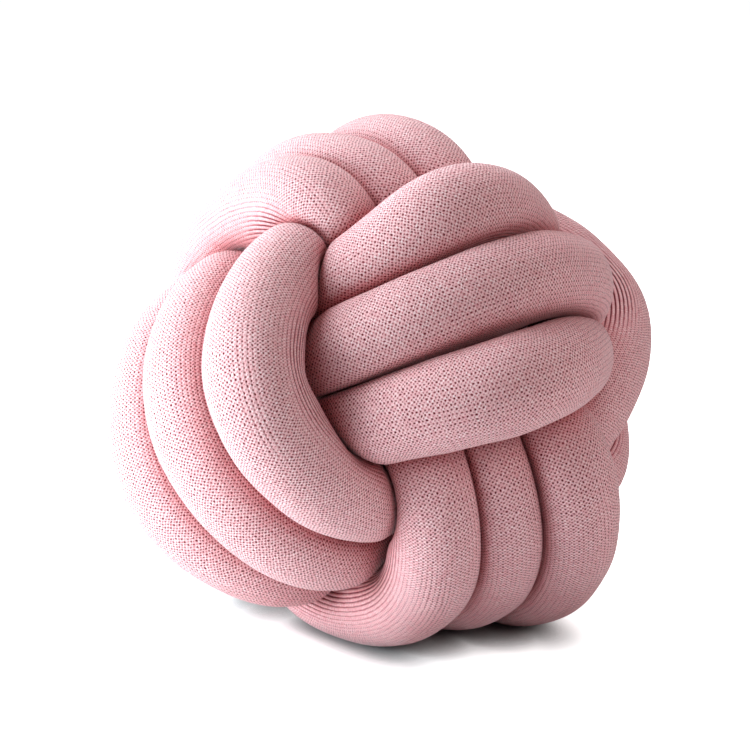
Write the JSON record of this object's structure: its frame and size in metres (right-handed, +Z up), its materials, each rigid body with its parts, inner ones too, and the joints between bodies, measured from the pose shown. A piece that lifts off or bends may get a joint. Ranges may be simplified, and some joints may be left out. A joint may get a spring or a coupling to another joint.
{
  "type": "knot cushion",
  "caption": "Ball-shaped scatter cushion, wound and knotted from a long stuffed tube of knitted cloth.",
  "frame": {"origin": "on the floor, under the middle of the ball", "axes": "+Z up; -Y towards the face of the knot whose strips run from side to side; +X to the right of someone who looks at that face"},
  "size_m": [0.3, 0.3047, 0.2822],
  "materials": {
    "knit_cloth": "matt plain knit, pink"
  },
  "bodies": {
    "root": {"knotted_tube": "knit_cloth"}
  },
  "joints": []
}
